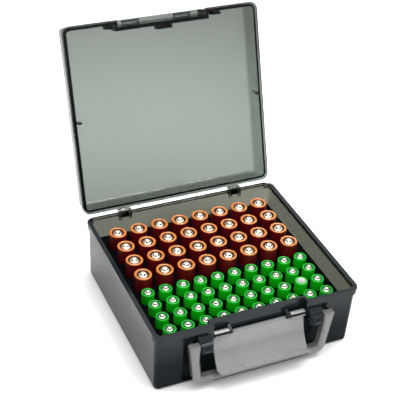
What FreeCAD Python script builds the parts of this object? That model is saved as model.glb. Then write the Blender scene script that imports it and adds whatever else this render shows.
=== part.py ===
import FreeCAD, Part
import math
import os

# Battery storage case: a moulded tub and lid joined by two pinned hinges at the back, a snap latch flap and a
# carry handle on the front, and a rack of 72 loose cells inside. Lengths are millimetres, angles are degrees.
# X runs along the front from left to right, Y from the front to the back, and Z up from the table.
# The lid and the latch are drawn closed and then turned to the open pose that the part is stored in.

# Case
case_width = 176.0
case_depth = 160.0
base_height = 56.0
lid_height = 20.0
seam_gap = 0.2
wall = 2.2
floor_thickness = 2.0
lid_thickness = 2.0
corner_radius = 7.0
base_edge_radius = 3.0
lid_edge_radius = 3.0
lid_room_radius = 2.0
base_draft = 1.3
lid_draft = 1.0
rim_height = 5.0
back_rim_height = 2.2
lid_rim_height = 2.4
rim_proud = 1.5
overlap = 0.5
overshoot = 1.0

# Recesses in the front wall
recess_depth = 6.0
notch_width = 80.0
pocket_gap = 1.5
pocket_low = 3.0
pocket_high = 43.5
pocket_corner = 5.0

# Hinge at the back
hinge_spacing = 104.0
hinge_out = 2.0
hinge_drop = 1.2
lid_open = 110.0
knuckle_radius = 2.2
knuckle_length = 6.0
knuckle_gap = 0.3
ear_thickness = 2.4
hinge_pin_radius = 1.0
pin_clearance = 0.05
leaf_height = 4.4
gusset_height = 9.0
leaf_foot = 1.0
stop_length = 5.2
stop_gap = 0.2

# Latch flap
latch_axis_out = 2.0
latch_axis_height = 44.5
latch_open = 154.6
flap_side_gap = 1.0
flap_thickness = 2.0
flap_set_back = 1.0
flap_corner = 3.0
flap_bow = 2.6
flap_root = 2.2
clip_radius = 3.0
clip_length = 12.3
clip_mouth = 2.2
latch_pin_radius = 1.5
latch_ear_thickness = 2.5
latch_ear_radius = 2.0
latch_gap = 0.3
lip_depth = 4.4
lip_thickness = 2.0
finger_tab_width = 26.0
finger_tab = 1.3
tooth_width = 12.0
tooth_spacing = 47.0
tooth_drop = 1.2
tooth_thickness = 1.0

# Ledge in the lid that the latch hooks over
ledge_reach = 3.5
ledge_thickness = 2.0
pocket_wall = 1.2

# Carry handle
handle_axis_out = 4.0
handle_axis_height = 40.0
handle_depth = 8.0
handle_knuckle = 8.7
handle_lean = 5.0
handle_foot = 4.5
handle_top_rise = 4.5
grip_height = 7.2
arm_width = 7.0
arm_step_high = 30.0
arm_step_low = 27.0
handle_corner = 10.0
handle_edge = 1.4
handle_panel_margin = 15.0
handle_panel_height = 3.6
handle_panel_depth = 0.6
pivot_radius = 2.0
pivot_length = 8.0
boss_offset = 2.0
boss_width = 11.0
boss_radius = 5.0
boss_rise = 8.0
pad_low = 42.0
handle_side_gap = 0.3

# Locating tongues under the lid's rim
tongue_drop = 3.0
tongue_root = 4.0
tongue_thickness = 2.2
tongue_width = 8.0
tongue_gap = 0.4
tongue_spacing = 96.0
middle_tongue_width = 14.0
middle_tongue_thickness = 3.4
side_rib = 1.6
side_rib_reach = 3.4
side_rib_height = 14.0

# Cells and their rack
rack_height = 37.5
rack_gap = 0.4
socket_gap = 0.1
aa_diameter = 14.5
aa_length = 50.5
aa_columns = 8
aa_rows = 4
aaa_diameter = 10.5
aaa_length = 44.5
aaa_columns = 10
aaa_rows = 4
aaa_floor = 3.4
inverted_place = (3, 9)
aa_nub_diameter = 5.4
aaa_nub_diameter = 3.8
nub_height = 1.2
can_sides = 12
nub_sides = 6
socket_sides = 8

# How the cells spread over the rack: the part of a pitch left at a row's ends, and shares of the rack's depth
aa_spare_pitch = 0.75
aaa_spare_pitch = 0.85
aa_back_share = 0.1051
aa_row_share = 0.1335
aaa_row_share = 0.1034
aaa_front_share = 0.0678

# Places worked out from the sizes above
front = -case_depth / 2
back = case_depth / 2
recess_face = front + recess_depth
seam = base_height + seam_gap
lid_top = seam + lid_height
hinge_y = back + hinge_out
hinge_z = base_height - hinge_drop
latch_y = front + latch_axis_out
handle_y = front - handle_axis_out
boss_inner = notch_width / 2 + boss_offset
boss_outer = boss_inner + boss_width
knuckle_face = boss_outer + handle_side_gap
handle_top_width = 2 * (knuckle_face + handle_knuckle)
handle_foot_width = handle_top_width - 2 * handle_lean
handle_panel_length = handle_foot_width - 2 * handle_panel_margin
pocket_width = handle_top_width + 2 * pocket_gap
flap_width = notch_width - 2 * flap_side_gap
latch_ear_high = flap_width / 2 - clip_length - 2 * latch_gap
latch_ear_low = latch_ear_high - latch_ear_thickness
ledge_top = lid_top - lip_thickness - latch_gap / 2
rack_margin = rim_proud + base_draft + wall + rack_gap
rack_width = case_width - 2 * rack_margin
rack_front = recess_face + wall + rack_gap
rack_depth = back - rack_margin - rack_front
aa_pitch_x = rack_width / (aa_columns + aa_spare_pitch)
aa_pitch_y = rack_depth * aa_row_share
aa_back_row = back - rack_margin - rack_depth * aa_back_share
aaa_pitch_x = rack_width / (aaa_columns + aaa_spare_pitch)
aaa_pitch_y = rack_depth * aaa_row_share
aaa_back_row = rack_front + rack_depth * aaa_front_share + (aaa_rows - 1) * aaa_pitch_y
X_AXIS = FreeCAD.Vector(1, 0, 0)
BIG = 2 * case_width
NEAR = 0.01


def vector(x, y, z):
    return FreeCAD.Vector(x, y, z)


def box(x_low, x_high, y_low, y_high, z_low, z_high):
    """Block between two corners."""
    return Part.makeBox(x_high - x_low, y_high - y_low, z_high - z_low, vector(x_low, y_low, z_low))


def rod(radius, x_low, x_high, y, z):
    """Round bar that lies along X."""
    return Part.makeCylinder(radius, x_high - x_low, vector(x_low, y, z), X_AXIS)


def rounded_outline(width, depth, radius, place):
    """Closed wire of a rectangle with round corners; place turns a flat point into a point in space."""
    x, y = width / 2, depth / 2
    lean = radius * (1 - math.sqrt(0.5))
    edges = []
    corners = [(x, y, 1, 1), (-x, y, -1, 1), (-x, -y, -1, -1), (x, -y, 1, -1)]
    for index, (cx, cy, sx, sy) in enumerate(corners):
        along_y = (cx, cy - sy * radius)
        along_x = (cx - sx * radius, cy)
        start, end = (along_y, along_x) if index % 2 == 0 else (along_x, along_y)
        middle = (cx - sx * lean, cy - sy * lean)
        edges.append(Part.Arc(place(*start), place(*middle), place(*end)).toShape())
    wire = []
    for index, edge in enumerate(edges):
        following = edges[(index + 1) % 4]
        wire.append(edge)
        wire.append(Part.makeLine(edge.lastVertex().Point, following.firstVertex().Point))
    return Part.Wire(wire)


def level_outline(width, depth, z):
    """Closed wire of a plain rectangle at one height."""
    x, y = width / 2, depth / 2
    corners = [vector(x, y, z), vector(-x, y, z), vector(-x, -y, z), vector(x, -y, z)]
    return Part.makePolygon(corners + corners[:1])


def tapered_block(low, high, radius):
    """Block with round corners between two levels, each given as width, depth and height.

    The corners are cones that keep their centres as the walls lean in; the radius is the wider level's.
    """
    half_x = max(low[0], high[0]) / 2 - radius
    half_y = max(low[1], high[1]) / 2 - radius
    height = high[2] - low[2]
    along = [level_outline(width, 2 * half_y, z) for width, depth, z in (low, high)]
    across = [level_outline(2 * half_x, depth, z) for width, depth, z in (low, high)]
    pieces = [Part.makeLoft(outlines, True, True) for outlines in (along, across)]
    low_radius = low[0] / 2 - half_x
    high_radius = high[0] / 2 - half_x
    for x in (-half_x, half_x):
        for y in (-half_y, half_y):
            if abs(high_radius - low_radius) < NEAR:
                pieces.append(Part.makeCylinder(radius, height, vector(x, y, low[2])))
            else:
                pieces.append(Part.makeCone(low_radius, high_radius, height, vector(x, y, low[2])))
    return fuse_all(pieces)


def front_block(half_width, low, high, radius, face):
    """Block let into the front, up to the plane y = face, with round corners as seen from the front."""
    middle = (low + high) / 2

    def place(x, z):
        return vector(x, front - BIG, z + middle)

    outline = rounded_outline(2 * half_width, high - low, radius, place)
    return Part.Face(outline).extrude(vector(0, face - front + BIG, 0))


def side_profile(points, x_low, x_high):
    """Solid with the outline of the (y, z) points, drawn along X."""
    corners = [vector(x_low, y, z) for y, z in points]
    return Part.Face(Part.makePolygon(corners + corners[:1])).extrude(vector(x_high - x_low, 0, 0))


def fuse_all(shapes):
    """One solid from several that meet."""
    return shapes[0].multiFuse(shapes[1:]).removeSplitter()


def both_sides(shapes):
    """The shapes and their mirror images across the middle of the case."""
    return shapes + [shape.mirror(vector(0, 0, 0), X_AXIS) for shape in shapes]


def round_level_edges(shape, level, radius):
    """Round the edges that lie flat at one height."""
    edges = []
    for edge in shape.Edges:
        bounds = edge.BoundBox
        if abs(bounds.ZMin - level) < NEAR and abs(bounds.ZMax - level) < NEAR:
            edges.append(edge)
    return shape.makeFillet(radius, edges)


# Tub
def wall_inset(height):
    """How far the tub's outer wall stands in from the rim at a height."""
    return rim_proud + base_draft * (1 - height / base_height)


def tub_level(height, inset):
    """Section of the tub's wall at a height, moved in by inset."""
    reach = wall_inset(height) + inset
    return (case_width - 2 * reach, case_depth - 2 * reach, height)


def front_recess(grow):
    """Space of the handle pocket and of the latch notch above it, grown on every side."""
    pocket = front_block(
        pocket_width / 2 + grow,
        pocket_low - grow,
        pocket_high + grow,
        pocket_corner + grow,
        recess_face + grow,
    )
    reach = notch_width / 2 + grow
    notch_top = base_height + overshoot
    notch = box(-reach, reach, front - BIG, recess_face + grow, pocket_low + pocket_corner, notch_top)
    return pocket.fuse(notch)


def tub_cavity():
    """Room inside the tub, from its floor to just above the rim."""
    radius = corner_radius - rim_proud - wall
    room = tapered_block(tub_level(floor_thickness, wall), tub_level(base_height + overshoot, wall), radius)
    return room.cut(front_recess(wall))


def hinge_sides():
    """The x of the middle of each hinge."""
    return [-hinge_spacing / 2, hinge_spacing / 2]


def base_hinge_ears(middle):
    """Two ears with gussets that carry one hinge pin on the tub's back wall, and the pad for the lid's stop."""
    inner = knuckle_length / 2 + knuckle_gap
    outer = inner + ear_thickness
    face = back - rim_proud - wall / 2
    ears = [box(middle - outer, middle + outer, face, back, base_height - rim_height, base_height)]
    for low in (middle - outer, middle + inner):
        high = low + ear_thickness
        ears.append(rod(knuckle_radius, low, high, hinge_y, hinge_z))
        gusset = [
            (hinge_y + knuckle_radius, hinge_z),
            (face, hinge_z),
            (face, hinge_z - gusset_height),
        ]
        ears.append(side_profile(gusset, low, high))
    return ears


def handle_boss(lug):
    """Boss that the handle turns in, with a round end as seen from the side and from above."""
    body = fuse_all([
        side_profile(lug, boss_inner, boss_outer),
        rod(boss_radius, boss_inner, boss_outer, handle_y, handle_axis_height),
    ])
    low = handle_axis_height - boss_radius - overshoot
    high = handle_axis_height + boss_rise + overshoot
    middle = (boss_inner + boss_outer) / 2
    nose = Part.makeCylinder(boss_width / 2, high - low, vector(middle, handle_y, low))
    plan = nose.fuse(box(boss_inner, boss_outer, handle_y, recess_face + wall, low, high))
    return body.common(plan.removeSplitter())


def base_shell():
    """Tub with its rim, front recesses, handle bosses, latch pins and hinge ears, moulded in one."""
    tub = tapered_block(tub_level(0.0, 0.0), tub_level(base_height, 0.0), corner_radius - rim_proud)
    tub = round_level_edges(tub, 0.0, base_edge_radius)
    rim_low = (case_width, case_depth, base_height - rim_height)
    rim_high = (case_width, case_depth, base_height)
    rim = tapered_block(rim_low, rim_high, corner_radius)
    reach = case_width / 2 - corner_radius
    thin = base_height - back_rim_height
    rim = rim.cut(box(-reach, reach, back - corner_radius, back + overshoot, rim_low[2] - overshoot, thin))
    tub = tub.fuse(rim).cut(front_recess(0.0))
    pad = box(notch_width / 2, boss_outer, front, recess_face + wall, pad_low, base_height - rim_height / 2)
    lug = [
        (handle_y, handle_axis_height - boss_radius),
        (recess_face + wall / 2, handle_axis_height - boss_radius),
        (recess_face + wall / 2, handle_axis_height + boss_rise),
        (front, handle_axis_height + boss_rise),
        (handle_y, handle_axis_height + boss_radius),
    ]
    latch_ear = [
        (latch_y, latch_axis_height - latch_ear_radius / 4),
        (recess_face + wall / 2, latch_axis_height - latch_ear_radius / 4),
        (recess_face + wall / 2, latch_axis_height + 2 * latch_ear_radius),
        (latch_y, latch_axis_height + latch_ear_radius),
    ]
    right = [
        pad,
        handle_boss(lug),
        rod(latch_pin_radius, latch_ear_low, boss_inner + overlap, latch_y, latch_axis_height),
        rod(latch_ear_radius, latch_ear_low, latch_ear_high, latch_y, latch_axis_height),
        side_profile(latch_ear, latch_ear_low, latch_ear_high),
    ]
    pieces = [tub] + both_sides(right)
    for middle in hinge_sides():
        pieces = pieces + base_hinge_ears(middle)
    tub = fuse_all(pieces)
    tub = tub.cut(tub_cavity())
    bore_end = boss_outer - pivot_length - overshoot
    bore_radius = pivot_radius + pin_clearance
    bore = rod(bore_radius, bore_end, boss_outer + overshoot, handle_y, handle_axis_height)
    cuts = both_sides([bore])
    for middle in hinge_sides():
        half = knuckle_length / 2 + knuckle_gap
        reach = half + ear_thickness + overshoot
        cuts.append(rod(knuckle_radius + knuckle_gap, middle - half, middle + half, hinge_y, hinge_z))
        cuts.append(rod(hinge_pin_radius, middle - reach, middle + reach, hinge_y, hinge_z))
    return tub.cut(Part.makeCompound(cuts)).removeSplitter()


# Lid, drawn closed
def lid_level(height, inset):
    """Section of the lid's wall at a height above the seam, moved in by inset."""
    reach = rim_proud + lid_draft * height / lid_height + inset
    return (case_width - 2 * reach, case_depth - 2 * reach, seam + height)


def lid_knuckle(middle):
    """Knuckle of one hinge with its leaf on the lid and the stop that meets the tub's rim when open."""
    low = middle - knuckle_length / 2
    high = middle + knuckle_length / 2
    leaf_low = seam - hinge_z
    leaf_y = -hinge_out - rim_proud - wall / 2
    leaf_corner = math.sqrt((knuckle_radius + knuckle_gap / 2) ** 2 - leaf_low ** 2)
    leaf = [
        (leaf_y, leaf_low),
        (-leaf_corner, leaf_low),
        (-hinge_out, 0.0),
        (knuckle_radius, 0.0),
        (knuckle_radius, leaf_foot),
        (leaf_y, leaf_low + leaf_height),
    ]
    turn = math.radians(lid_open)
    rest = hinge_out - stop_gap
    face = (-math.cos(turn), -math.sin(turn))
    along = (math.sin(turn), -math.cos(turn))

    def on_stop(away, reach):
        return (away * face[0] + reach * along[0], away * face[1] + reach * along[1])

    stop = [
        on_stop(rest, 0.0),
        on_stop(rest, stop_length),
        on_stop(0.0, stop_length),
        on_stop(-leaf_foot, 0.0),
    ]
    shapes = [rod(knuckle_radius, low, high, hinge_y, hinge_z)]
    for outline in (leaf, stop):
        placed = [(hinge_y + y, hinge_z + z) for y, z in outline]
        shapes.append(side_profile(placed, low, high))
    return shapes


def lid_tongues():
    """Tongues and side ribs below the lid's rim that guide it into the tub, each joined to its wall."""
    shapes = []
    inner_y = case_depth / 2 - rim_proud - wall - tongue_gap
    inner_x = case_width / 2 - rim_proud - wall - tongue_gap
    low = seam - tongue_drop
    high = seam + tongue_root
    join = tongue_gap + overlap
    notch_inner = recess_face + wall + tongue_gap
    tongues = [
        (-tongue_spacing / 2, -inner_y, tongue_width, tongue_thickness),
        (tongue_spacing / 2, -inner_y, tongue_width, tongue_thickness),
        (0.0, notch_inner, middle_tongue_width, middle_tongue_thickness),
    ]
    for middle, face, width, thickness in tongues:
        left, right = middle - width / 2, middle + width / 2
        shapes.append(box(left, right, face, face + thickness, low, high))
        shapes.append(box(left, right, face - join, face + thickness, seam, high))
    rib = [
        (inner_x, low),
        (inner_x, seam),
        (inner_x + join, seam),
        (inner_x + join, seam + side_rib_height),
        (inner_x, seam + side_rib_height),
        (inner_x - side_rib_reach, seam),
        (inner_x - side_rib_reach, low),
    ]
    corners = [vector(x, -side_rib / 2, z) for x, z in rib]
    plate = Part.Face(Part.makePolygon(corners + corners[:1])).extrude(vector(0, side_rib, 0))
    return shapes + both_sides([plate])


def lid_shell():
    """Lid with its rim, latch ledge, tongues and hinge knuckles, moulded in one."""
    lid = tapered_block(lid_level(0.0, 0.0), lid_level(lid_height, 0.0), corner_radius - rim_proud)
    lid = round_level_edges(lid, lid_top, lid_edge_radius)
    rim_low = (case_width, case_depth, seam)
    rim_high = (case_width, case_depth, seam + lid_rim_height)
    lid = lid.fuse(tapered_block(rim_low, rim_high, corner_radius))
    half = notch_width / 2
    lid = lid.cut(box(-half, half, front - BIG, recess_face, seam - overshoot, lid_top + overshoot))
    step = latch_y + lip_depth + 2 * latch_gap
    lid = lid.cut(box(-half, half, front - BIG, step, ledge_top, lid_top + overshoot))
    room_low = lid_level(-overshoot, wall)
    room_high = lid_level(lid_height - lid_thickness, wall)
    room = tapered_block(room_low, room_high, corner_radius - rim_proud - wall)
    room = round_level_edges(room, lid_top - lid_thickness, lid_room_radius)
    kept_wall = max(recess_face, step) + wall
    room = room.cut(box(-half - wall, half + wall, front - BIG, kept_wall, seam - 2 * overshoot, lid_top))
    lid = lid.cut(room)
    ledge = box(
        -half - overlap,
        half + overlap,
        recess_face - ledge_reach,
        recess_face + overlap,
        ledge_top - ledge_thickness,
        ledge_top,
    )
    tooth_back = latch_y + lip_depth
    pocket_near = tooth_back - tooth_thickness - latch_gap
    pocket_far = tooth_back + latch_gap
    pocket_reach = tooth_width / 2 + latch_gap
    pocket_floor = ledge_top - tooth_drop - latch_gap
    pieces = [lid, ledge] + lid_tongues()
    for middle in (-tooth_spacing / 2, tooth_spacing / 2):
        low = middle - pocket_reach - pocket_wall
        high = middle + pocket_reach + pocket_wall
        bottom = pocket_floor - 2 * pocket_wall
        pieces.append(box(low, high, recess_face - ledge_reach, recess_face + overlap, bottom, ledge_top))
    for middle in hinge_sides():
        pieces = pieces + lid_knuckle(middle)
    lid = fuse_all(pieces)
    cuts = []
    for middle in (-tooth_spacing / 2, tooth_spacing / 2):
        low, high = middle - pocket_reach, middle + pocket_reach
        cuts.append(box(low, high, pocket_near, pocket_far, pocket_floor, ledge_top + overshoot))
    for middle in hinge_sides():
        near = knuckle_length / 2
        far = near + 2 * knuckle_gap + ear_thickness
        relief = knuckle_radius + knuckle_gap
        cuts.append(rod(relief, middle - far, middle - near, hinge_y, hinge_z))
        cuts.append(rod(relief, middle + near, middle + far, hinge_y, hinge_z))
        bore = hinge_pin_radius + pin_clearance
        reach = near + overshoot
        cuts.append(rod(bore, middle - reach, middle + reach, hinge_y, hinge_z))
    return lid.cut(Part.makeCompound(cuts)).removeSplitter()


# Latch flap, drawn closed
def flap_plate(x_low, x_high, end):
    """Bowed plate of the flap from its hinge edge up to the height end, drawn along X."""
    root_z = latch_axis_height + flap_root
    inner_low = (latch_y - flap_set_back, root_z)
    inner_high = (latch_y, end)
    outer_low = (inner_low[0] - flap_thickness, root_z)
    outer_high = (inner_high[0] - flap_thickness, end)
    middle_z = (root_z + end) / 2
    inner_middle = (latch_y - flap_set_back / 2 - flap_bow, middle_z)
    outer_middle = (inner_middle[0] - flap_thickness, middle_z)

    def at(point):
        return vector(x_low, point[0], point[1])

    outline = Part.Wire([
        Part.Arc(at(inner_low), at(inner_middle), at(inner_high)).toShape(),
        Part.makeLine(at(inner_high), at(outer_high)),
        Part.Arc(at(outer_high), at(outer_middle), at(outer_low)).toShape(),
        Part.makeLine(at(outer_low), at(inner_low)),
    ])
    return Part.Face(outline).extrude(vector(x_high - x_low, 0, 0))


def flap_corner_cut(top):
    """What is cut off the flap's right corner at its free end to leave it round."""
    half = flap_width / 2
    centre_x = half - flap_corner
    centre_z = top - flap_corner
    near_y = latch_y - clip_radius - flap_bow - flap_thickness
    depth = lip_depth - near_y + latch_y + overshoot
    corner = box(centre_x, half + overshoot, near_y, near_y + depth, centre_z, top + overshoot)
    round_part = Part.makeCylinder(flap_corner, depth, vector(centre_x, near_y, centre_z), vector(0, 1, 0))
    return corner.cut(round_part)


def latch_flap():
    """Latch: a bowed plate with a hooked lip, and clips that snap over the tub's moulded pins."""
    half = flap_width / 2
    lip_low = ledge_top + latch_gap
    lip_high = lip_low + lip_thickness
    outer_y = latch_y - flap_thickness
    tooth_back = latch_y + lip_depth
    pieces = [
        flap_plate(-half, half, lip_high),
        box(-half, half, outer_y, tooth_back, lip_low, lip_high),
    ]
    tab = finger_tab_width / 2
    pieces.append(box(-tab, tab, outer_y, latch_y + lip_depth / 2, lip_high, lip_high + finger_tab))
    reach = tooth_width / 2
    tooth_front = tooth_back - tooth_thickness
    for middle in (-tooth_spacing / 2, tooth_spacing / 2):
        low, high = middle - reach, middle + reach
        pieces.append(box(low, high, tooth_front, tooth_back, lip_low - tooth_drop, lip_low))
    root_outer = latch_y - flap_set_back - flap_thickness
    root_top = latch_axis_height + flap_root
    pieces.append(box(-half, half, root_outer, latch_y - flap_set_back, latch_axis_height, root_top))
    clip = rod(clip_radius, half - clip_length, half, latch_y, latch_axis_height)
    flap = fuse_all(pieces + both_sides([clip]))
    clip_near = half - clip_length - overshoot
    clip_far = half + overshoot
    mouth = box(
        clip_near,
        clip_far,
        latch_y,
        latch_y + 2 * clip_radius,
        latch_axis_height - clip_mouth / 2,
        latch_axis_height + clip_mouth / 2,
    )
    ear_near = latch_ear_low - latch_gap
    ear_far = latch_ear_high + latch_gap
    cuts = both_sides([
        rod(latch_pin_radius + pin_clearance, clip_near, clip_far, latch_y, latch_axis_height),
        mouth,
        rod(latch_ear_radius + latch_gap, ear_near, ear_far, latch_y, latch_axis_height),
        flap_corner_cut(lip_high),
    ])
    return flap.cut(Part.makeCompound(cuts)).removeSplitter()


# Carry handle
def handle_outline(y):
    """U-shaped outline as seen from the front, with round corners at the foot."""
    top = handle_axis_height + handle_top_rise
    foot = handle_foot
    outer_top = handle_top_width / 2
    outer_foot = handle_foot_width / 2
    lean = (outer_top - outer_foot) / (top - foot)

    def outer(z):
        return outer_foot + lean * (z - foot)

    grip_top = foot + grip_height
    inner_foot = outer(grip_top) - arm_width
    points = [
        (-outer_top, top),
        (-outer_foot, foot),
        (outer_foot, foot),
        (outer_top, top),
        (knuckle_face, top),
        (knuckle_face, arm_step_high),
        (outer(arm_step_low) - arm_width, arm_step_low),
        (inner_foot, grip_top),
        (-inner_foot, grip_top),
        (-outer(arm_step_low) + arm_width, arm_step_low),
        (-knuckle_face, arm_step_high),
        (-knuckle_face, top),
    ]
    return [vector(x, y, z) for x, z in points]


def handle_corners(handle, height, spread):
    """The edges through the handle's depth at one height, on corners up to spread from the middle."""
    edges = []
    for edge in handle.Edges:
        bounds = edge.BoundBox
        through = bounds.YLength > handle_depth - NEAR and bounds.XLength < NEAR
        if through and abs(bounds.ZMin - height) < NEAR and bounds.XMax < spread + NEAR:
            edges.append(edge)
    return edges


def carry_handle():
    """Bail handle with a shallow panel in its grip and a stub pin on each arm."""
    y_low = handle_y - handle_depth / 2
    corners = handle_outline(y_low)
    handle = Part.Face(Part.makePolygon(corners + corners[:1])).extrude(vector(0, handle_depth, 0))
    grip_top = handle_foot + grip_height
    handle = handle.makeFillet(handle_corner, handle_corners(handle, handle_foot, handle_foot_width))
    handle = handle.makeFillet(handle_corner / 3, handle_corners(handle, grip_top, handle_foot_width))
    rims = []
    for edge in handle.Edges:
        bounds = edge.BoundBox
        if bounds.YLength < NEAR and abs(abs(bounds.YMin - handle_y) - handle_depth / 2) < NEAR:
            rims.append(edge)
    handle = handle.makeChamfer(handle_edge, rims)
    middle_z = handle_foot + grip_height / 2

    def place(x, z):
        return vector(x, y_low - overshoot, z + middle_z)

    panel_radius = handle_panel_height / 2 - NEAR
    outline = rounded_outline(handle_panel_length, handle_panel_height, panel_radius, place)
    handle = handle.cut(Part.Face(outline).extrude(vector(0, handle_panel_depth + overshoot, 0)))
    pin_end = boss_outer - pivot_length
    pin = rod(pivot_radius, pin_end, knuckle_face + overlap, handle_y, handle_axis_height)
    return fuse_all([handle] + both_sides([pin]))


# Cells and rack
def polygon_block(across, sides, x, y, low, high):
    """Upright prism with flat sides; across is the width over the flats."""
    radius = across / 2 / math.cos(math.pi / sides)
    corners = []
    for index in range(sides):
        turn = 2 * math.pi * (index + 0.5) / sides
        corners.append(vector(x + radius * math.cos(turn), y + radius * math.sin(turn), low))
    return Part.Face(Part.makePolygon(corners + corners[:1])).extrude(vector(0, 0, high - low))


def row_places(columns, pitch, y):
    """Centres of the cells in one row, from left to right."""
    return [((index - (columns - 1) / 2) * pitch, y) for index in range(columns)]


def aa_places(row):
    """Centres of one row of AA cells; row 0 is at the back."""
    return row_places(aa_columns, aa_pitch_x, aa_back_row - row * aa_pitch_y)


def aaa_places(row):
    """Centres of one row of AAA cells; row 0 is next to the AA cells."""
    return row_places(aaa_columns, aaa_pitch_x, aaa_back_row - row * aaa_pitch_y)


def cell(x, y, low, diameter, length, nub_diameter):
    """One cell standing with its nub up: the can and the nub are a single sealed solid."""
    can = polygon_block(diameter, can_sides, x, y, low, low + length - nub_height)
    nub = polygon_block(nub_diameter, nub_sides, x, y, low + length - nub_height, low + length)
    return can.fuse(nub)


def aa_row(row):
    """One row of AA cells that stand on the tub's floor."""
    cells = [cell(x, y, floor_thickness, aa_diameter, aa_length, aa_nub_diameter) for x, y in aa_places(row)]
    return Part.makeCompound(cells)


def is_inverted(row, column):
    return (row + 1, column + 1) == inverted_place


def aaa_row(row):
    """One row of AAA cells that stand on the rack, without the cell that stands upside down."""
    cells = []
    for column, (x, y) in enumerate(aaa_places(row)):
        if not is_inverted(row, column):
            cells.append(cell(x, y, aaa_floor, aaa_diameter, aaa_length, aaa_nub_diameter))
    return Part.makeCompound(cells)


def inverted_cell():
    """The AAA cell that stands on its nub with its flat end up."""
    row, column = inverted_place
    x, y = aaa_places(row - 1)[column - 1]
    upright = cell(x, y, aaa_floor, aaa_diameter, aaa_length, aaa_nub_diameter)
    return upright.rotate(vector(x, y, aaa_floor + aaa_length / 2), X_AXIS, 180.0)


def socket_width(diameter):
    """Width over the flats of the socket for a cell, which clears the can's corners."""
    return diameter / math.cos(math.pi / can_sides) + 2 * socket_gap


def battery_rack():
    """Block with a socket for each cell: the AA sockets go right through, the AAA sockets have a floor."""
    width, depth, low = tub_level(floor_thickness, wall + rack_gap)
    radius = corner_radius - rim_proud - wall
    rack = tapered_block((width, depth, low), (width, depth, rack_height), radius)
    rack = rack.cut(front_recess(wall + rack_gap))
    sockets = []
    top = rack_height + overshoot
    across = socket_width(aa_diameter)
    for row in range(aa_rows):
        for x, y in aa_places(row):
            sockets.append(polygon_block(across, socket_sides, x, y, floor_thickness - overshoot, top))
    across = socket_width(aaa_diameter)
    for row in range(aaa_rows):
        for x, y in aaa_places(row):
            sockets.append(polygon_block(across, socket_sides, x, y, aaa_floor, top))
    return rack.cut(Part.makeCompound(sockets))


def hinge_pin(middle):
    """Steel pin, held in the tub's ears, that the lid's knuckle turns on."""
    half = knuckle_length / 2 + knuckle_gap + ear_thickness
    return rod(hinge_pin_radius, middle - half, middle + half, hinge_y, hinge_z)


def turned(shape, y, z, angle):
    """Shape turned about a line along X."""
    return shape.rotate(vector(0, y, z), X_AXIS, angle)


def main():
    os.makedirs("parts", exist_ok=True)
    nodes = {
        "base_shell": base_shell(),
        "lid_shell": turned(lid_shell(), hinge_y, hinge_z, -lid_open),
        "latch_flap": turned(latch_flap(), latch_y, latch_axis_height, latch_open),
        "carry_handle": carry_handle(),
        "battery_rack": battery_rack(),
        "hinge_pin_left": hinge_pin(-hinge_spacing / 2),
        "hinge_pin_right": hinge_pin(hinge_spacing / 2),
        "aaa_cell_inverted": inverted_cell(),
    }
    for row in range(aa_rows):
        nodes["aa_cells_row_%d" % (row + 1)] = aa_row(row)
    for row in range(aaa_rows):
        nodes["aaa_cells_row_%d" % (row + 1)] = aaa_row(row)
    for name, shape in nodes.items():
        shape.exportStep("parts/%s.step" % name)
        print(name, len(shape.Solids), shape.isValid(), round(shape.Volume))


main()
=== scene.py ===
"""Looks of the battery storage case: its finishes, its round cells, and the stage it is shown on."""

import math

import bpy
from mathutils import Matrix, Vector


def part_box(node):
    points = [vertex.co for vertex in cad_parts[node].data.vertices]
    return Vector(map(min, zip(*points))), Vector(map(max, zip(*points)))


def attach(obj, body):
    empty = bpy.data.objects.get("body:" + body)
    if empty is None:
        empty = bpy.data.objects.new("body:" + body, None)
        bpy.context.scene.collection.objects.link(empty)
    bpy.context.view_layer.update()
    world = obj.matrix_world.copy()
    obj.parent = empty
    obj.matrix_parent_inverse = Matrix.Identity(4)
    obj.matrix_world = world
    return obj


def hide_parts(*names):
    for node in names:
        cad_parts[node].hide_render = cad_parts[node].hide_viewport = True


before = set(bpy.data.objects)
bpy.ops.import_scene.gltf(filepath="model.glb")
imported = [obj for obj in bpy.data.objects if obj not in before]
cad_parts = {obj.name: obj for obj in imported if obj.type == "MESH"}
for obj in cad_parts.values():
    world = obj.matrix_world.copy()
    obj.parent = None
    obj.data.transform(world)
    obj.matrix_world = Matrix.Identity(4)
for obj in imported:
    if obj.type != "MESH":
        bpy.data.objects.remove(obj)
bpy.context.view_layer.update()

bl_info = {
    "name": "Battery storage case",
    "version": (1, 0, 0),
    "blender": (4, 5, 0),
    "location": "3D View > Sidebar > Battery Case",
    "description": "Dresses a hinged battery case and its cells, and sets up the stage around it",
    "category": "Object",
}

MM = 0.001
WHITE = (1.0, 1.0, 1.0)

# Rows and columns of the cells, and where the one that stands upside down is left out of its row
LARGE_ROWS, LARGE_COLUMNS = 4, 8
SMALL_ROWS, SMALL_COLUMNS = 4, 10
INVERTED_ROW, INVERTED_COLUMN = 3, 9

# What each band of a cell is made of, where the seal band is dark as painted shade of its recess, and a
# vented band is metal with dark vents in it that are painted shade, not holes
NUB_METAL, SEAL_AND_SHADE, TOP_RING, SLEEVE, BASE_METAL, VENT = range(6)
CELL_SIDES = 40
# The painted dark vents: how often they come round the nub, and how many sides each one takes
VENT_EVERY = 10
VENT_SIDES = 3
CELL_TURN = 0.7  # Radians that each cell is turned on from the one before it

# A cell's nub: shares of its radius at its flat top and at its vents' ends, and small heights along it
NUB_TOP_SHARE = 0.68
VENT_TOP_SHARE = 0.8
VENT_FOOT_SHARE = 0.9
VENT_TOP_DROP = 0.15 * MM
VENT_FOOT_RISE = 0.5 * MM
NUB_FOOT_RISE = 0.15 * MM
NUB_FOOT_WIDTH = 0.25 * MM

# A cell's plate and seal: the plate's bent edge, and how far the seal lies below the plate
PLATE_BEND = 0.2 * MM
PLATE_EDGE_DROP = 0.15 * MM
SEAL_GAP = 0.1 * MM
SEAL_DROP = 0.3 * MM

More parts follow.
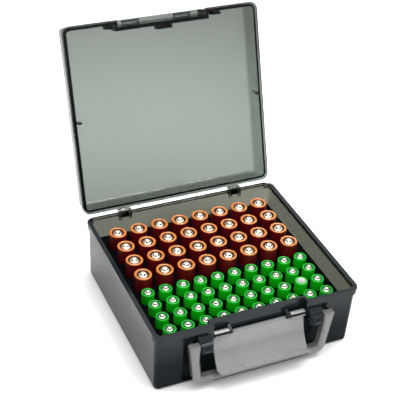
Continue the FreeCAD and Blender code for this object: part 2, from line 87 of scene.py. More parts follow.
# A cell's rounded edges, each as points: how far in from the wall and how far from the flat end
RING_INNER_EDGE = ((0.0, 0.45 * MM), (0.15 * MM, 0.15 * MM), (0.5 * MM, 0.0))
RING_OUTER_EDGE = ((0.8 * MM, 0.0), (0.35 * MM, 0.12 * MM), (0.1 * MM, 0.35 * MM), (0.0, 0.75 * MM))
FOOT_EDGE = ((0.0, 0.5 * MM), (0.15 * MM, 0.15 * MM), (0.5 * MM, 0.0))

# A cell's base: how far the metal lies above the sleeve's end, and the raised disc in its middle
BASE_RISE = 0.25 * MM
BASE_STEP = 0.1 * MM
BASE_RING_SHARE = 0.55
BASE_DISC_SHARE = 0.5

# Relief of the finishes: its depth at full strength, and the smoke plastic's grain and strength
RELIEF_DEPTH = 0.1 * MM
SMOKE_GRAIN = 220.0
SMOKE_RELIEF = 0.02
COAT_ROUGHNESS = 0.08

# The tub's solid parts, opaque dark for the thick plastic at the rim and as painted shade along the front and
# in the handle's pocket: their surface, and where each of them fades out, from one distance to another
BODY_ROUGHNESS = 0.2
BODY_COAT_ROUGHNESS = 0.05
RIM_DEPTH = (3.0 * MM, 2.6 * MM)
BACK_MARGIN = (9.0 * MM, 8.0 * MM)
FRONT_MARGIN = (1.0 * MM, 0.2 * MM)
RECESS_FADE = 2.0 * MM
POLISH_START = 0.3  # Share of the tub's height

# The floor's distance below the case, and the camera's sensor and nearest view
FLOOR_DROP = 0.1 * MM
SENSOR_WIDTH = 36.0
NEAREST_VIEW = 0.01

# Size, place, target and spread in degrees of each soft light
CASE_MIDDLE = (0.0, 0.0, 0.05)
KEY_LIGHT = (0.75, (0.1, -0.2, 1.2), CASE_MIDDLE, 180.0)
BACK_LIGHT = (0.4, (0.2, 0.38, 0.7), (0.06, 0.24, 0.0), 50.0)
SIDE_LIGHT = (0.5, (-1.0, -0.7, 0.55), CASE_MIDDLE, 180.0)


class MouldingLooks(bpy.types.PropertyGroup):
    """Finishes of the case's plastic and of its hinge pins."""

    lid_tint: bpy.props.FloatVectorProperty(
        name="Lid tint",
        description="What the lid's smoke plastic lets through, before its depth is counted",
        subtype="COLOR",
        size=3,
        min=0.0,
        max=1.0,
        default=(0.0, 0.07, 0.01),
    )
    tub_tint: bpy.props.FloatVectorProperty(
        name="Tub tint",
        description="What the tub's smoke plastic lets through, before its depth is counted",
        subtype="COLOR",
        size=3,
        min=0.0,
        max=1.0,
        default=(0.07, 0.085, 0.0),
    )
    lid_density: bpy.props.FloatProperty(
        name="Lid density",
        description="How strongly the lid darkens with depth, per metre of plastic",
        default=915.0,
        min=0.0,
    )
    tub_density: bpy.props.FloatProperty(
        name="Tub density",
        description="How strongly the tub darkens with depth, per metre of plastic",
        default=945.0,
        min=0.0,
    )
    # Opaque dark of the tub's solid parts: thick plastic at the rim, and painted shade along the front and in
    # the handle's pocket, standing for the shaded inside seen through the plastic
    tub_body_and_shade: bpy.props.FloatVectorProperty(
        name="Tub body",
        description="Colour of the tub where its plastic is too thick to see through",
        subtype="COLOR",
        size=3,
        min=0.0,
        max=1.0,
        default=(0.007, 0.01, 0.0115),
    )
    tub_polish: bpy.props.FloatProperty(
        name="Tub polish",
        description="Clear coat on the tub's solid parts at the rim, from where it fades down to none",
        default=0.42,
        min=0.0,
        max=1.0,
    )
    lid_index: bpy.props.FloatProperty(
        name="Lid refraction",
        description="Refractive index of the lid's plastic",
        default=1.45,
        min=1.0,
    )
    tub_index: bpy.props.FloatProperty(
        name="Tub refraction",
        description="Refractive index of the tub's plastic",
        default=1.26,
        min=1.0,
    )
    lid_gloss: bpy.props.FloatProperty(
        name="Lid gloss",
        description="How strongly the lid's faces reflect, where 0.5 is plain plastic",
        default=0.5,
        min=0.0,
        max=1.0,
    )
    tub_gloss: bpy.props.FloatProperty(
        name="Tub gloss",
        description="How strongly the tub's faces reflect, where 0.5 is plain plastic",
        default=0.15,
        min=0.0,
        max=1.0,
    )
    # Painted reflection: a cool cast put on the tub's reflections
    painted_reflection_tint: bpy.props.FloatVectorProperty(
        name="Sheen tint",
        description="Cool cast of the reflections on the tub",
        subtype="COLOR",
        size=3,
        min=0.0,
        max=1.0,
        default=(0.66, 0.84, 1.0),
    )
    flap_colour: bpy.props.FloatVectorProperty(
        name="Flap",
        description="Colour of the latch flap",
        subtype="COLOR",
        size=3,
        min=0.0,
        max=1.0,
        default=(0.205, 0.21, 0.214),
    )
    # The handle is the flap's grey plastic made darker as painted shade, and a little warmer
    handle_shaded_colour: bpy.props.FloatVectorProperty(
        name="Handle",
        description="Colour of the carry handle, a little darker and warmer than the flap",
        subtype="COLOR",
        size=3,
        min=0.0,
        max=1.0,
        default=(0.128, 0.129, 0.122),
    )
    rack_colour: bpy.props.FloatVectorProperty(
        name="Rack",
        description="Colour of the black rack",
        subtype="COLOR",
        size=3,
        min=0.0,
        max=1.0,
        default=(0.003, 0.003, 0.0035),
    )
    pin_colour: bpy.props.FloatVectorProperty(
        name="Hinge pins",
        description="Colour of the steel hinge pins",
        subtype="COLOR",
        size=3,
        min=0.0,
        max=1.0,
        default=(0.6, 0.6, 0.6),
    )


class LargeCellLooks(bpy.types.PropertyGroup):
    """Shape and finish of the AA cells' ends and sleeves."""

    nub_rise: bpy.props.FloatProperty(
        name="Nub rise",
        description="How far the nub stands above the sleeve's ring",
        default=1.2 * MM,
        subtype="DISTANCE",
        unit="LENGTH",
    )
    nub_radius: bpy.props.FloatProperty(
        name="Nub radius",
        description="Radius of the nub",
        default=2.5 * MM,
        subtype="DISTANCE",
        unit="LENGTH",
    )
    plate_radius: bpy.props.FloatProperty(
        name="Plate radius",
        description="Radius of the metal plate around the nub",
        default=3.5 * MM,
        subtype="DISTANCE",
        unit="LENGTH",
    )
    plate_drop: bpy.props.FloatProperty(
        name="Plate drop",
        description="How far the plate lies below the sleeve's ring",
        default=0.8 * MM,
        subtype="DISTANCE",
        unit="LENGTH",
    )
    ring_width: bpy.props.FloatProperty(
        name="Ring width",
        description="Width of the sleeve's ring over the shoulder of the can",
        default=2.1 * MM,
        subtype="DISTANCE",
        unit="LENGTH",
    )
    sleeve_colour: bpy.props.FloatVectorProperty(
        name="Sleeve",
        description="Colour of the sleeve around the can",
        subtype="COLOR",
        size=3,
        min=0.0,
        max=1.0,
        default=(0.085, 0.001, 0.003),
    )
    ring_colour: bpy.props.FloatVectorProperty(
        name="Ring",
        description="Colour of the sleeve's ring on top",
        subtype="COLOR",
        size=3,
        min=0.0,
        max=1.0,
        default=(0.43, 0.135, 0.02),
    )
    # The seal ring, a darkened sleeve colour as painted shade of its recess, also used for the painted vents
    seal_and_shade_colour: bpy.props.FloatVectorProperty(
        name="Seal",
        description="Colour of the seal between the ring and the plate",
        subtype="COLOR",
        size=3,
        min=0.0,
        max=1.0,
        default=(0.03, 0.006, 0.003),
    )
    metal_colour: bpy.props.FloatVectorProperty(
        name="Nub metal",
        description="Colour of the nub and the plate around it",
        subtype="COLOR",
        size=3,
        min=0.0,
        max=1.0,
        default=(0.80, 0.74, 0.60),
    )
    # Metal of the can's base with a painted reflection: its green cast stands for the green cells around it
    base_and_reflection_colour: bpy.props.FloatVectorProperty(
        name="Base metal",
        description="Colour of the can's base",
        subtype="COLOR",
        size=3,
        min=0.0,
        max=1.0,
        default=(0.3, 0.36, 0.31),
    )


class SmallCellLooks(bpy.types.PropertyGroup):
    """Shape and finish of the AAA cells' ends and sleeves."""

    nub_rise: bpy.props.FloatProperty(
        name="Nub rise",
        description="How far the nub stands above the sleeve's ring",
        default=1.2 * MM,
        subtype="DISTANCE",
        unit="LENGTH",
    )
    nub_radius: bpy.props.FloatProperty(
        name="Nub radius",
        description="Radius of the nub",
        default=1.75 * MM,
        subtype="DISTANCE",
        unit="LENGTH",
    )
    plate_radius: bpy.props.FloatProperty(
        name="Plate radius",
        description="Radius of the metal plate around the nub",
        default=2.5 * MM,
        subtype="DISTANCE",
        unit="LENGTH",
    )
    plate_drop: bpy.props.FloatProperty(
        name="Plate drop",
        description="How far the plate lies below the sleeve's ring",
        default=0.5 * MM,
        subtype="DISTANCE",
        unit="LENGTH",
    )
    ring_width: bpy.props.FloatProperty(
        name="Ring width",
        description="Width of the sleeve's ring over the shoulder of the can",
        default=1.2 * MM,
        subtype="DISTANCE",
        unit="LENGTH",
    )
    sleeve_colour: bpy.props.FloatVectorProperty(
        name="Sleeve",
        description="Colour of the sleeve around the can",
        subtype="COLOR",
        size=3,
        min=0.0,
        max=1.0,
        default=(0.001, 0.33, 0.003),
    )
    ring_colour: bpy.props.FloatVectorProperty(
        name="Ring",
        description="Colour of the sleeve's ring on top",
        subtype="COLOR",
        size=3,
        min=0.0,
        max=1.0,
        default=(0.006, 0.48, 0.02),
    )
    # The seal ring, a darkened sleeve colour as painted shade of its recess, also used for the painted vents
    seal_and_shade_colour: bpy.props.FloatVectorProperty(
        name="Seal",
        description="Colour of the seal between the ring and the plate",
        subtype="COLOR",
        size=3,
        min=0.0,
        max=1.0,
        default=(0.002, 0.08, 0.025),
    )
    metal_colour: bpy.props.FloatVectorProperty(
        name="Nub metal",
        description="Colour of the nub and the plate around it",
        subtype="COLOR",
        size=3,
        min=0.0,
        max=1.0,
        default=(0.80, 0.74, 0.60),
    )
    # Metal of the can's base with a painted reflection: its green cast stands for the green cells around it
    base_and_reflection_colour: bpy.props.FloatVectorProperty(
        name="Base metal",
        description="Colour of the can's base",
        subtype="COLOR",
        size=3,
        min=0.0,
        max=1.0,
        default=(0.3, 0.36, 0.31),
    )


class StageLooks(bpy.types.PropertyGroup):
    """Floor, lights and camera."""

    floor_colour: bpy.props.FloatVectorProperty(
        name="Floor",
        description="Colour of the floor",
        subtype="COLOR",
        size=3,
        min=0.0,
        max=1.0,
        default=(0.93, 0.93, 0.93),
    )
    floor_size: bpy.props.FloatProperty(
        name="Floor size",
        description="Width and depth of the floor",
        default=8.0,
        subtype="DISTANCE",
        unit="LENGTH",
    )
    sky_strength: bpy.props.FloatProperty(
        name="Sky strength",
        description="Strength of the even light from all sides",
        default=1.3,
        min=0.0,
    )
    horizon_strength: bpy.props.FloatProperty(
        name="Horizon strength",
        description="Strength of the light that comes in low from the dark sides of the studio",
        default=0.08,
        min=0.0,
    )
    horizon_top: bpy.props.FloatProperty(
        name="Horizon top",
        description="Height above the floor at which the even light has its full strength",
        default=math.radians(32.0),
        subtype="ANGLE",
    )
    key_power: bpy.props.FloatProperty(
        name="Key power",
        description="Power of the large soft light over the case",
        default=9.0,
        min=0.0,
        unit="POWER",
    )
    side_power: bpy.props.FloatProperty(
        name="Side power",
        description="Power of the soft light on the left",
        default=1.5,
        min=0.0,
        unit="POWER",
    )
    back_power: bpy.props.FloatProperty(
        name="Back power",
        description="Power of the narrow light on the floor behind the case, seen through the smoke plastic",
        default=1.05,
        min=0.0,
        unit="POWER",
    )
    azimuth: bpy.props.FloatProperty(
        name="Azimuth",
        description="Direction the camera stands in, from straight in front",
        default=math.radians(-26.1246),
        subtype="ANGLE",
    )
    elevation: bpy.props.FloatProperty(
        name="Elevation",
        description="How high the camera stands",
        default=math.radians(35.2934),
        subtype="ANGLE",
    )
    roll: bpy.props.FloatProperty(
        name="Roll",
        description="How far the camera is turned about its own line of sight",
        default=math.radians(4.1207),
        subtype="ANGLE",
    )
    distance: bpy.props.FloatProperty(
        name="Distance",
        description="Distance of the camera from the case",
        default=912.17 * MM,
        subtype="DISTANCE",
        unit="LENGTH",
    )
    aside: bpy.props.FloatProperty(
        name="Aside",
        description="How far the camera stands to its own right",
        default=-12.06 * MM,
        subtype="DISTANCE",
        unit="LENGTH",
    )
    above: bpy.props.FloatProperty(
        name="Above",
        description="How far the camera stands along its own up direction",
        default=88.91 * MM,
        subtype="DISTANCE",
        unit="LENGTH",
    )
    lens: bpy.props.FloatProperty(
        name="Lens",
        description="Focal length on a 36 mm sensor, in millimetres",
        default=96.47,
        min=1.0,
    )


class NodeBoard:
    """A new material's node tree, with short ways to add and join nodes."""

    def __init__(self, name):
        self.material = bpy.data.materials.new(name)
        self.material.use_nodes = True
        self.tree = self.material.node_tree
        self.tree.nodes.clear()
        self.place = self.add("ShaderNodeTexCoord").outputs["Object"]

    def add(self, kind, **settings):
        node = self.tree.nodes.new(kind)
        for name, value in settings.items():
            setattr(node, name, value)
        return node

    def join(self, source, target):
        self.tree.links.new(source, target)

    def noise(self, scale, detail=3.0):
        """Even grain in the object's own space."""
        node = self.add("ShaderNodeTexNoise")
        node.inputs["Scale"].default_value = scale
        node.inputs["Detail"].default_value = detail
        self.join(self.place, node.inputs["Vector"])
        return node.outputs["Fac"]

    def spread(self, factor, low, high):
        """Turns the middle part of a grain into a value between low and high."""
        node = self.add("ShaderNodeMapRange")
        for name, value in (("From Min", 0.3), ("From Max", 0.7), ("To Min", low), ("To Max", high)):
            node.inputs[name].default_value = value
        self.join(factor, node.inputs["Value"])
        return node.outputs["Result"]

    def step(self, value, start, end, low, high):
        """Goes smoothly from low to high while value goes from start to end."""
        node = self.add("ShaderNodeMapRange", interpolation_type="SMOOTHSTEP")
        for name, number in (("From Min", start), ("From Max", end), ("To Min", low), ("To Max", high)):
            node.inputs[name].default_value = number
        self.join(value, node.inputs["Value"])
        return node.outputs["Result"]

    def compare(self, kind, first, second):
        """The larger or the smaller of two values, at each spot."""
        node = self.add("ShaderNodeMath", operation=kind)
        self.join(first, node.inputs[0])
        self.join(second, node.inputs[1])
        return node.outputs["Value"]

    def bump(self, height, strength):
        """Surface relief."""
        node = self.add("ShaderNodeBump")
        node.inputs["Strength"].default_value = strength
        node.inputs["Distance"].default_value = RELIEF_DEPTH
        self.join(height, node.inputs["Height"])
        return node.outputs["Normal"]

    def finish(self, surface, volume=None):
        output = self.add("ShaderNodeOutputMaterial")
        self.join(surface, output.inputs["Surface"])
        if volume:
            self.join(volume, output.inputs["Volume"])
        return self.material


def smoke_plastic(board, tint, density, index, gloss, reflection_tint, solid=None):
    """Smoke plastic that darkens with the depth looked through.

    Where it has solid parts, solid gives their colour, which is partly painted shade, and their share and
    their polish at each spot.
    """
    plastic = board.add("ShaderNodeBsdfPrincipled")
    plastic.inputs["Base Color"].default_value = (*WHITE, 1.0)
    plastic.inputs["Transmission Weight"].default_value = 1.0
    plastic.inputs["Roughness"].default_value = 0.0
    plastic.inputs["IOR"].default_value = index
    plastic.inputs["Specular IOR Level"].default_value = gloss
    # Painted reflection: this tint colours the plastic's reflections
    plastic.inputs["Specular Tint"].default_value = (*reflection_tint, 1.0)
    board.join(board.bump(board.noise(SMOKE_GRAIN), SMOKE_RELIEF), plastic.inputs["Normal"])
    surface = plastic.outputs["BSDF"]
    if solid:
        colour, share, polish = solid
        body = board.add("ShaderNodeBsdfPrincipled")
        body.inputs["Base Color"].default_value = (*colour, 1.0)
        body.inputs["Roughness"].default_value = BODY_ROUGHNESS
        board.join(polish, body.inputs["Coat Weight"])
        body.inputs["Coat Roughness"].default_value = BODY_COAT_ROUGHNESS
        body.inputs["IOR"].default_value = index
        body.inputs["Specular IOR Level"].default_value = gloss
        body.inputs["Specular Tint"].default_value = (*reflection_tint, 1.0)
        whole = board.add("ShaderNodeMixShader")
        board.join(share, whole.inputs["Fac"])
        board.join(surface, whole.inputs[1])
        board.join(body.outputs["BSDF"], whole.inputs[2])
        surface = whole.outputs["Shader"]
    shade = board.add("ShaderNodeBsdfTransparent")
    for_lamps = board.add("ShaderNodeLightPath")
    mixed = board.add("ShaderNodeMixShader")
    board.join(for_lamps.outputs["Is Shadow Ray"], mixed.inputs["Fac"])
    board.join(surface, mixed.inputs[1])
    board.join(shade.outputs["BSDF"], mixed.inputs[2])
    depth = board.add("ShaderNodeVolumeAbsorption")
    depth.inputs["Color"].default_value = (*tint, 1.0)
    depth.inputs["Density"].default_value = density
    return board.finish(mixed.outputs["Shader"], depth.outputs["Volume"])


def solid_and_shaded_parts(board, most_polish):
    """How solid the tub is at each spot, 1 in its rim, along its front and in front of the cells between the
    handle's arms and 0 elsewhere, and its polish; along the front and between the arms this opaque dark is
    painted shade.
    """
    place = board.add("ShaderNodeSeparateXYZ")
    board.join(board.place, place.inputs["Vector"])
    side, depth, height = (place.outputs[name] for name in "XYZ")
    _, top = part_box("base_shell")
    rack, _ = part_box("battery_rack")
    cells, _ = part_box("aaa_cells_row_4")
    handle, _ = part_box("carry_handle")
    across = board.add("ShaderNodeMath", operation="ABSOLUTE")
    board.join(side, across.inputs[0])
    rim = board.step(height, *[top.z - margin for margin in RIM_DEPTH], 0.0, 1.0)
    ahead = board.step(depth, *[top.y - margin for margin in BACK_MARGIN], 1.0, 0.0)
    # Painted shade: the front wall and the handle's pocket turn opaque dark where the plastic would show the
    # shaded inside
    front = board.step(depth, *[rack.y - margin for margin in FRONT_MARGIN], 1.0, 0.0)
    recess = board.step(depth, *[cells.y - margin for margin in FRONT_MARGIN], 1.0, 0.0)
    inner = board.step(across.outputs["Value"], -handle.x, -handle.x + RECESS_FADE, 1.0, 0.0)
    edge = board.compare("MINIMUM", rim, ahead)
    middle = board.compare("MINIMUM", recess, inner)
    polish = board.step(height, POLISH_START * top.z, top.z, 0.0, most_polish)
    return board.compare("MAXIMUM", edge, board.compare("MAXIMUM", front, middle)), polish


def solid_finish(name, colour, roughness, grain, relief, metallic=0.0, coat=0.0, mottle=0.06, gloss=0.5):
    """Opaque finish whose colour and roughness drift a little, with a fine relief of that grain."""
    board = NodeBoard(name)
    shader = board.add("ShaderNodeBsdfPrincipled")
    shader.inputs["Metallic"].default_value = metallic
    shader.inputs["Coat Weight"].default_value = coat
    shader.inputs["Coat Roughness"].default_value = COAT_ROUGHNESS
    shader.inputs["Specular IOR Level"].default_value = gloss
    drift = board.noise(grain / 6)
    tone = board.add("ShaderNodeMix", data_type="RGBA")
    tone.inputs["A"].default_value = (*[channel * (1 - mottle) for channel in colour], 1.0)
    tone.inputs["B"].default_value = (*[min(1.0, channel * (1 + mottle)) for channel in colour], 1.0)
    board.join(drift, tone.inputs["Factor"])
    board.join(tone.outputs["Result"], shader.inputs["Base Color"])
    board.join(board.spread(drift, 0.9 * roughness, 1.1 * roughness), shader.inputs["Roughness"])
    board.join(board.bump(board.noise(grain), relief), shader.inputs["Normal"])
    return board.finish(shader.outputs["BSDF"])


def dress(node, material):
    """Give one CAD node its material."""
    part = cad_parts[node]
    part.data.materials.clear()
    part.data.materials.append(material)


def cell_profile(radius, height, looks):
    """Half outline of a cell from the middle of its nub to the middle of its base.

    Each point is its radius, its height and the band that goes on from it.
    """
    shoulder = height - looks.nub_rise
    plate = shoulder - looks.plate_drop
    seal = plate - SEAL_DROP
    nub = looks.nub_radius
    inner = radius - looks.ring_width
    inner_edge = [(inner + out, shoulder - down, TOP_RING) for out, down in RING_INNER_EDGE]
    outer_edge = [(radius - back, shoulder - down, TOP_RING) for back, down in RING_OUTER_EDGE[:-1]]
    edge_width, edge_drop = RING_OUTER_EDGE[-1]
    foot = [(radius - back, up, SLEEVE) for back, up in FOOT_EDGE]
    return [
        (0.0, height, NUB_METAL),
        (NUB_TOP_SHARE * nub, height, NUB_METAL),
        (VENT_TOP_SHARE * nub, height - VENT_TOP_DROP, VENT),
        (VENT_FOOT_SHARE * nub, plate + VENT_FOOT_RISE, VENT),
        (nub, plate + NUB_FOOT_RISE, NUB_METAL),
        (nub + NUB_FOOT_WIDTH, plate, NUB_METAL),
        (looks.plate_radius - PLATE_BEND, plate, NUB_METAL),
        # Painted shade: the seal ring down in the recess between the plate and the ring
        (looks.plate_radius, plate - PLATE_EDGE_DROP, SEAL_AND_SHADE),
        (looks.plate_radius + SEAL_GAP, seal, SEAL_AND_SHADE),
        (inner, seal, SEAL_AND_SHADE),
        *inner_edge,
        *outer_edge,
        (radius - edge_width, shoulder - edge_drop, SLEEVE),
        (radius, height / 2, SLEEVE),
        *foot,
        (inner, 0.0, SLEEVE),
        (inner - BASE_STEP, BASE_RISE, BASE_METAL),
        (BASE_RING_SHARE * radius, BASE_RISE, BASE_METAL),
        (BASE_DISC_SHARE * radius, BASE_RISE + BASE_STEP, BASE_METAL),
        (0.0, BASE_RISE + BASE_STEP, BASE_METAL),
    ]


def add_turned(points, faces, bands, profile, place, start):
    """Add one round cell to the lists of a mesh: the profile turned about the upright line through place."""
    rings = []
    for radius, height, _ in profile:
        ring = []
        steps = CELL_SIDES if radius > 0.0 else 1
        for step in range(steps):
            turn = start + 2 * math.pi * step / CELL_SIDES
            ring.append(len(points))
            points.append(place + Vector((radius * math.cos(turn), radius * math.sin(turn), height)))
        rings.append(ring)
    for index in range(len(profile) - 1):
        upper, lower = rings[index], rings[index + 1]
        for step in range(CELL_SIDES):
            after = (step + 1) % CELL_SIDES
            corners = [lower[step % len(lower)], lower[after % len(lower)]]
            corners += [upper[after % len(upper)], upper[step % len(upper)]]
            faces.append(list(dict.fromkeys(corners)))
            band = profile[index][2]
            # Painted shade: the vents are dark faces on the nub's side, not holes
            if band == VENT:
                dark = step % VENT_EVERY < VENT_SIDES
                band = SEAL_AND_SHADE if dark else NUB_METAL
            bands.append(band)


def cell_row(name, node, places, radius, height, looks, materials, upside_down=False):
    """Round cells in the place of one CAD node's plain ones."""
    points, faces, bands = [], [], []
    profile = cell_profile(radius, height, looks)
    for index, place in enumerate(places):
        add_turned(points, faces, bands, profile, place, CELL_TURN * index)
    mesh = bpy.data.meshes.new(name)
    mesh.from_pydata(points, [], faces)
    for material in materials:
        mesh.materials.append(material)
    mesh.polygons.foreach_set("material_index", bands)
    mesh.polygons.foreach_set("use_smooth", [True] * len(faces))
    mesh.update()
    row = bpy.data.objects.new(name, mesh)
    bpy.context.scene.collection.objects.link(row)
    if upside_down:
        middle = places[0] + Vector((0.0, 0.0, height / 2))
        turn = Matrix.Translation(middle) @ Matrix.Rotation(math.pi, 4, "X") @ Matrix.Translation(-middle)
        mesh.transform(turn)
    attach(row, "base")
    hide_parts(node)
    return row


def row_places(node, columns, missing=()):
    """Feet of the cells in one CAD row, from left to right, and the radius and height of its cells."""
    low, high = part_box(node)
    radius = (high.y - low.y) / 2
    pitch = (high.x - low.x - 2 * radius) / (columns - 1) if columns > 1 else 0.0
    places = []
    for column in range(columns):
        if column + 1 not in missing:
            places.append(Vector((low.x + radius + column * pitch, low.y + radius, low.z)))
    return places, radius, high.z - low.z


def cell_materials(kind, looks):
    """The five finishes of one kind of cell, in the order of the bands."""
    return [
        solid_finish(kind + " nub metal", looks.metal_colour,
                     roughness=0.34, grain=900.0, relief=0.05, metallic=1.0),
        # Painted shade for the seal ring and the vents
        solid_finish(kind + " seal", looks.seal_and_shade_colour,
                     roughness=0.5, grain=900.0, relief=0.1, gloss=0.2),
        solid_finish(kind + " top ring", looks.ring_colour,
                     roughness=0.3, grain=700.0, relief=0.06, coat=0.5, gloss=0.3),
        solid_finish(kind + " sleeve", looks.sleeve_colour,
                     roughness=0.4, grain=700.0, relief=0.06, coat=0.2, gloss=0.2),
        # Base metal with a painted green reflection
        solid_finish(kind + " base metal", looks.base_and_reflection_colour,
                     roughness=0.6, grain=900.0, relief=0.05, metallic=1.0),
    ]


class DressTub(bpy.types.Operator):
    """Give the tub its dark smoke plastic"""

    bl_idname = "battery_case.dress_tub"
    bl_label = "Tub"

    def execute(self, context):
        looks = context.scene.moulding_looks
        board = NodeBoard("Dark smoke plastic")
        # The solid parts' dark is partly painted shade
        solid = (looks.tub_body_and_shade, *solid_and_shaded_parts(board, looks.tub_polish))
        smoke = smoke_plastic(board, looks.tub_tint, looks.tub_density, looks.tub_index, looks.tub_gloss,
                              looks.painted_reflection_tint, solid)
        dress("base_shell", smoke)
        return {"FINISHED"}


class DressLid(bpy.types.Operator):
    """Give the lid its clear smoke plastic"""

    bl_idname = "battery_case.dress_lid"
    bl_label = "Lid"

    def execute(self, context):
        looks = context.scene.moulding_looks
        board = NodeBoard("Clear smoke plastic")
        smoke = smoke_plastic(board, looks.lid_tint, looks.lid_density, looks.lid_index, looks.lid_gloss,
                              WHITE)
        dress("lid_shell", smoke)
        return {"FINISHED"}


class DressGreyPieces(bpy.types.Operator):
    """Give the latch flap and the carry handle their satin grey plastic"""

    bl_idname = "battery_case.dress_grey_pieces"
    bl_label = "Latch flap and handle"

    def execute(self, context):
        looks = context.scene.moulding_looks
        # The handle's colour is darkened as painted shade
        for node, colour in (("latch_flap", looks.flap_colour), ("carry_handle", looks.handle_shaded_colour)):
            name = "Satin grey plastic of " + node
            grey = solid_finish(name, colour, roughness=0.3, grain=800.0, relief=0.03, coat=0.6)
            dress(node, grey)
        return {"FINISHED"}


class DressRack(bpy.types.Operator):
    """Give the rack its matt black finish"""

    bl_idname = "battery_case.dress_rack"
    bl_label = "Rack"

    def execute(self, context):
        looks = context.scene.moulding_looks
        black = solid_finish("Matt black rack", looks.rack_colour,
                             roughness=0.9, grain=1200.0, relief=0.3, gloss=0.0)
        dress("battery_rack", black)
        return {"FINISHED"}


class DressHingePins(bpy.types.Operator):
    """Give the hinge pins their drawn steel"""

    bl_idname = "battery_case.dress_hinge_pins"
    bl_label = "Hinge pins"

    def execute(self, context):
        looks = context.scene.moulding_looks
        steel = solid_finish("Drawn pin steel", looks.pin_colour,
                             roughness=0.28, grain=1500.0, relief=0.1, metallic=1.0)
        for node in ("hinge_pin_left", "hinge_pin_right"):
            dress(node, steel)
        return {"FINISHED"}


class AddLargeCells(bpy.types.Operator):
    """Put round AA cells in the place of the plain ones"""

    bl_idname = "battery_case.add_large_cells"
    bl_label = "AA cells"

    def execute(self, context):
        looks = context.scene.large_cell_looks
        materials = cell_materials("AA", looks)
        for row in range(1, LARGE_ROWS + 1):
            node = "aa_cells_row_%d" % row
            places, radius, height = row_places(node, LARGE_COLUMNS)
            cells = cell_row("aa_round_cells_%d" % row, node, places, radius, height, looks, materials)
        return {"FINISHED"}


class AddSmallCells(bpy.types.Operator):
    """Put round AAA cells in the place of the plain ones, with the one that stands upside down"""

    bl_idname = "battery_case.add_small_cells"
    bl_label = "AAA cells"

    def execute(self, context):
        looks = context.scene.small_cell_looks
        materials = cell_materials("AAA", looks)
        for row in range(1, SMALL_ROWS + 1):
            node = "aaa_cells_row_%d" % row
            missing = (INVERTED_COLUMN,) if row == INVERTED_ROW else ()
            places, radius, height = row_places(node, SMALL_COLUMNS, missing)
            cells = cell_row("aaa_round_cells_%d" % row, node, places, radius, height, looks, materials)
        node = "aaa_cell_inverted"
        places, radius, height = row_places(node, 1)
        cell = cell_row("aaa_round_cell_inverted", node, places, radius, height, looks, materials,
                        upside_down=True)
        return {"FINISHED"}


class SetUpStage(bpy.types.Operator):
    """Lay the pale floor, place the lights and the camera"""

    bl_idname = "battery_case.set_up_stage"
    bl_label = "Stage"

    def execute(self, context):
        looks = context.scene.stage_looks
        lay_floor(looks)
        light_stage(looks)
        place_camera(looks)
        return {"FINISHED"}


def lay_floor(looks):
    """Plain pale floor just under the case."""
    half = looks.floor_size / 2
    level = -FLOOR_DROP
    corners = [(-half, -half, level), (half, -half, level), (half, half, level), (-half, half, level)]
    mesh = bpy.data.meshes.new("Floor")
    mesh.from_pydata(corners, [], [(0, 1, 2, 3)])
    pale = solid_finish("Pale floor", looks.floor_colour, roughness=0.9, grain=60.0, relief=0.0, mottle=0.005)
    mesh.materials.append(pale)
    floor = bpy.data.objects.new("Floor", mesh)
    bpy.context.scene.collection.objects.link(floor)


def soft_light(name, power, size, place, target, spread):
    """Square area light at place that faces target, with its spread in degrees."""
    lamp = bpy.data.lights.new(name, "AREA")
    lamp.shape = "SQUARE"
    lamp.size = size
    lamp.energy = power
    lamp.spread = math.radians(spread)
    light = bpy.data.objects.new(name, lamp)
    light.location = place
    light.rotation_euler = (Vector(target) - Vector(place)).to_track_quat("-Z", "Y").to_euler()
    bpy.context.scene.collection.objects.link(light)


def light_stage(looks):
    """Light the case from a sky that is dark low down and white to the camera, and from three lights."""
    world = bpy.data.worlds.new("Studio")
    world.use_nodes = True
    tree = world.node_tree
    sky = tree.nodes["Background"]
    sky.inputs["Color"].default_value = (*WHITE, 1.0)
    direction = tree.nodes.new("ShaderNodeTexCoord")
    split = tree.nodes.new("ShaderNodeSeparateXYZ")
    climb = tree.nodes.new("ShaderNodeMapRange")
    climb.interpolation_type = "SMOOTHSTEP"
    climb.inputs["From Min"].default_value = 0.0
    climb.inputs["From Max"].default_value = math.sin(looks.horizon_top)
    climb.inputs["To Min"].default_value = looks.horizon_strength
    climb.inputs["To Max"].default_value = looks.sky_strength
    tree.links.new(direction.outputs["Generated"], split.inputs["Vector"])
    tree.links.new(split.outputs["Z"], climb.inputs["Value"])
    tree.links.new(climb.outputs["Result"], sky.inputs["Strength"])
    wall = tree.nodes.new("ShaderNodeBackground")
    wall.inputs["Color"].default_value = (*WHITE, 1.0)
    in_view = tree.nodes.new("ShaderNodeLightPath")
    shown = tree.nodes.new("ShaderNodeMixShader")
    tree.links.new(in_view.outputs["Is Camera Ray"], shown.inputs["Fac"])
    tree.links.new(sky.outputs["Background"], shown.inputs[1])
    tree.links.new(wall.outputs["Background"], shown.inputs[2])
    tree.links.new(shown.outputs["Shader"], tree.nodes["World Output"].inputs["Surface"])
    bpy.context.scene.world = world
    soft_light("Key light", looks.key_power, *KEY_LIGHT)
    soft_light("Back light", looks.back_power, *BACK_LIGHT)
    soft_light("Side light", looks.side_power, *SIDE_LIGHT)
    bpy.context.scene.view_settings.view_transform = "Standard"


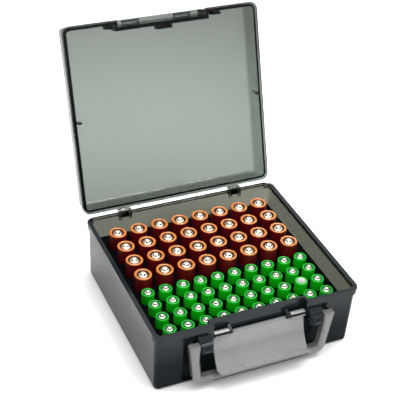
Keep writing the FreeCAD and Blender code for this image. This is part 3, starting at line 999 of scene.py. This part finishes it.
def place_camera(looks):
    """Camera at the photograph's viewing angle."""
    azimuth, elevation = looks.azimuth, looks.elevation
    back = Vector((
        math.sin(azimuth) * math.cos(elevation),
        -math.cos(azimuth) * math.cos(elevation),
        math.sin(elevation),
    ))
    level = Vector((math.cos(azimuth), math.sin(azimuth), 0.0))
    upright = back.cross(level)
    turn = Matrix.Rotation(looks.roll, 3, back)
    right, up = turn @ level, turn @ upright
    camera = bpy.data.objects.new("Camera", bpy.data.cameras.new("Camera"))
    camera.data.lens = looks.lens
    camera.data.sensor_width = SENSOR_WIDTH
    camera.data.clip_start = NEAREST_VIEW
    spot = back * looks.distance + right * looks.aside + up * looks.above
    columns = Matrix((right, up, back)).transposed().to_4x4()
    camera.matrix_world = Matrix.Translation(spot) @ columns
    bpy.context.scene.collection.objects.link(camera)
    bpy.context.scene.camera = camera


STEPS = (
    DressTub,
    DressLid,
    DressGreyPieces,
    DressRack,
    DressHingePins,
    AddLargeCells,
    AddSmallCells,
    SetUpStage,
)


class BatteryCasePanel(bpy.types.Panel):
    """Lists the steps and the looks of the battery case"""

    bl_idname = "VIEW3D_PT_battery_case"
    bl_label = "Battery Case"
    bl_space_type = "VIEW_3D"
    bl_region_type = "UI"
    bl_category = "Battery Case"

    def draw(self, context):
        column = self.layout.column()
        for step in STEPS:
            column.operator(step.bl_idname)
        for name in LOOKS:
            looks = getattr(context.scene, name)
            for prop in looks.bl_rna.properties:
                if prop.identifier not in ("rna_type", "name"):
                    column.prop(looks, prop.identifier)


LOOKS = {
    "moulding_looks": MouldingLooks,
    "large_cell_looks": LargeCellLooks,
    "small_cell_looks": SmallCellLooks,
    "stage_looks": StageLooks,
}
CLASSES = (*LOOKS.values(), *STEPS, BatteryCasePanel)


def register():
    for cls in CLASSES:
        bpy.utils.register_class(cls)
    for name, looks in LOOKS.items():
        setattr(bpy.types.Scene, name, bpy.props.PointerProperty(type=looks))


def unregister():
    for name in LOOKS:
        delattr(bpy.types.Scene, name)
    for cls in reversed(CLASSES):
        bpy.utils.unregister_class(cls)


def main():
    register()
    bpy.ops.battery_case.dress_tub()
    bpy.ops.battery_case.dress_lid()
    bpy.ops.battery_case.dress_grey_pieces()
    bpy.ops.battery_case.dress_rack()
    bpy.ops.battery_case.dress_hinge_pins()
    bpy.ops.battery_case.add_large_cells()
    bpy.ops.battery_case.add_small_cells()
    bpy.ops.battery_case.set_up_stage()


if __name__ == "__main__":
    main()
